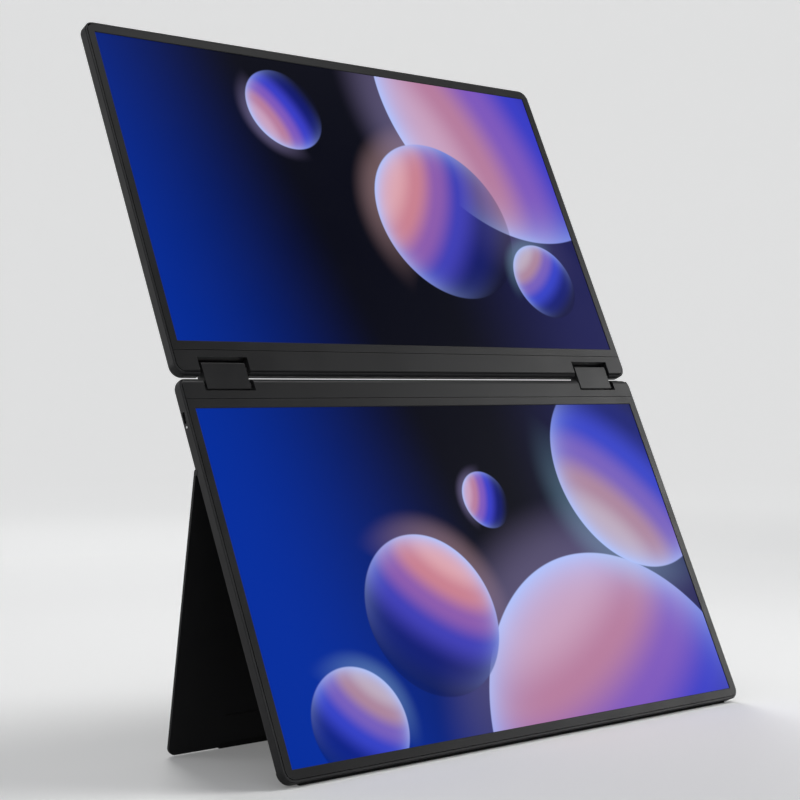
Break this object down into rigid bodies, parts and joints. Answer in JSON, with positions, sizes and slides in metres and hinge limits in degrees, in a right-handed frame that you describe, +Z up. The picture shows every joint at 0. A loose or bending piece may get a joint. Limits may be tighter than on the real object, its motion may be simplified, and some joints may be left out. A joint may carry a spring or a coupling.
{
  "type": "foldable portable monitor",
  "caption": "Foldable portable monitor: an upper and a lower screen joined by double-axis fold hinges, leaning back on a full-width fold-out stand behind the lower screen.",
  "frame": {"origin": "on the table, under the middle of the part's box", "axes": "+Z up, +X to the right along the fold, -Y towards the viewer in front of the screens"},
  "size_m": [0.3208, 0.1714, 0.3619],
  "materials": {
    "casing": "fine matte grain, black-grey",
    "front_frame": "fine matte grain, black-grey",
    "hinge_trim": "fine matte grain, black-grey",
    "hinge_metal": "satin black-grey paint",
    "stand_metal": "matte black-grey anodised",
    "screen": "anti-glare front face over the picture",
    "light_unit": "white moulded tray",
    "inner_sheet": "plain sheet",
    "circuit_board": "green solder mask",
    "steel": "plain turned steel",
    "socket_metal": "satin drawn shell",
    "socket_plastic": "black moulded insert with contacts",
    "thread_insert": "nickel-plated brass",
    "rubber": "matte black",
    "button": "fine matte grain, black-grey",
    "lamp": "milky light guide"
  },
  "bodies": {
    "lower_display": {"lower_back_cover": "casing", "lower_bezel": "front_frame", "lower_hinge_cover": "hinge_trim", "lower_lcd_cell": "screen", "lower_backlight": "light_unit", "lower_support_plate": "inner_sheet", "main_board": "circuit_board", "board_screws": "steel", "lower_hinge_shafts": "steel", "lower_hinge_brackets": "steel", "lower_hinge_screws": "steel", "usb_c_shell_top": "socket_metal", "usb_c_shell_bottom": "socket_metal", "usb_c_insert_top": "socket_plastic", "usb_c_insert_bottom": "socket_plastic", "lock_plate": "steel", "status_lamp": "lamp", "tripod_bushing": "thread_insert", "stand_pins": "steel", "bottom_foot": "rubber"},
    "hinge_links": {"hinge_link_left": "hinge_metal", "hinge_link_right": "hinge_metal"},
    "upper_display": {"upper_back_cover": "casing", "upper_bezel": "front_frame", "upper_hinge_cover": "hinge_trim", "upper_lcd_cell": "screen", "upper_backlight": "light_unit", "upper_support_plate": "inner_sheet", "upper_driver_board": "circuit_board", "upper_hinge_shafts": "steel", "upper_hinge_brackets": "steel", "upper_hinge_screws": "steel"},
    "stand": {"stand_plate": "stand_metal", "stand_foot": "rubber"},
    "power_button": {"power_button": "button"},
    "menu_button": {"menu_button": "button"}
  },
  "joints": [
    {"name": "fold_lower", "type": "hinge", "parent": "lower_display", "child": "hinge_links", "pos_m": [0, -0.00145, 0.17713], "axis": [1, 0, 0], "range_deg": [-60, 90]},
    {"name": "fold_upper", "type": "hinge", "parent": "hinge_links", "child": "upper_display", "pos_m": [0, 0.00199, 0.18457], "axis": [1, 0, 0], "range_deg": [-60, 90]},
    {"name": "stand_hinge", "type": "hinge", "parent": "lower_display", "child": "stand", "pos_m": [0, -0.018, 0.1363], "axis": [1, 0, 0], "range_deg": [-34.5, 25.5]},
    {"name": "power_button_press", "type": "slide", "parent": "lower_display", "child": "power_button", "axis": [-1, 0, 0], "range_m": [0, 0.0004], "stiffness_N_per_m": 600},
    {"name": "menu_button_press", "type": "slide", "parent": "lower_display", "child": "menu_button", "axis": [-1, 0, 0], "range_m": [0, 0.0004], "stiffness_N_per_m": 600}
  ],
  "couplings": [
    {"joint": "fold_upper", "follows": "fold_lower", "ratio": 1}
  ]
}
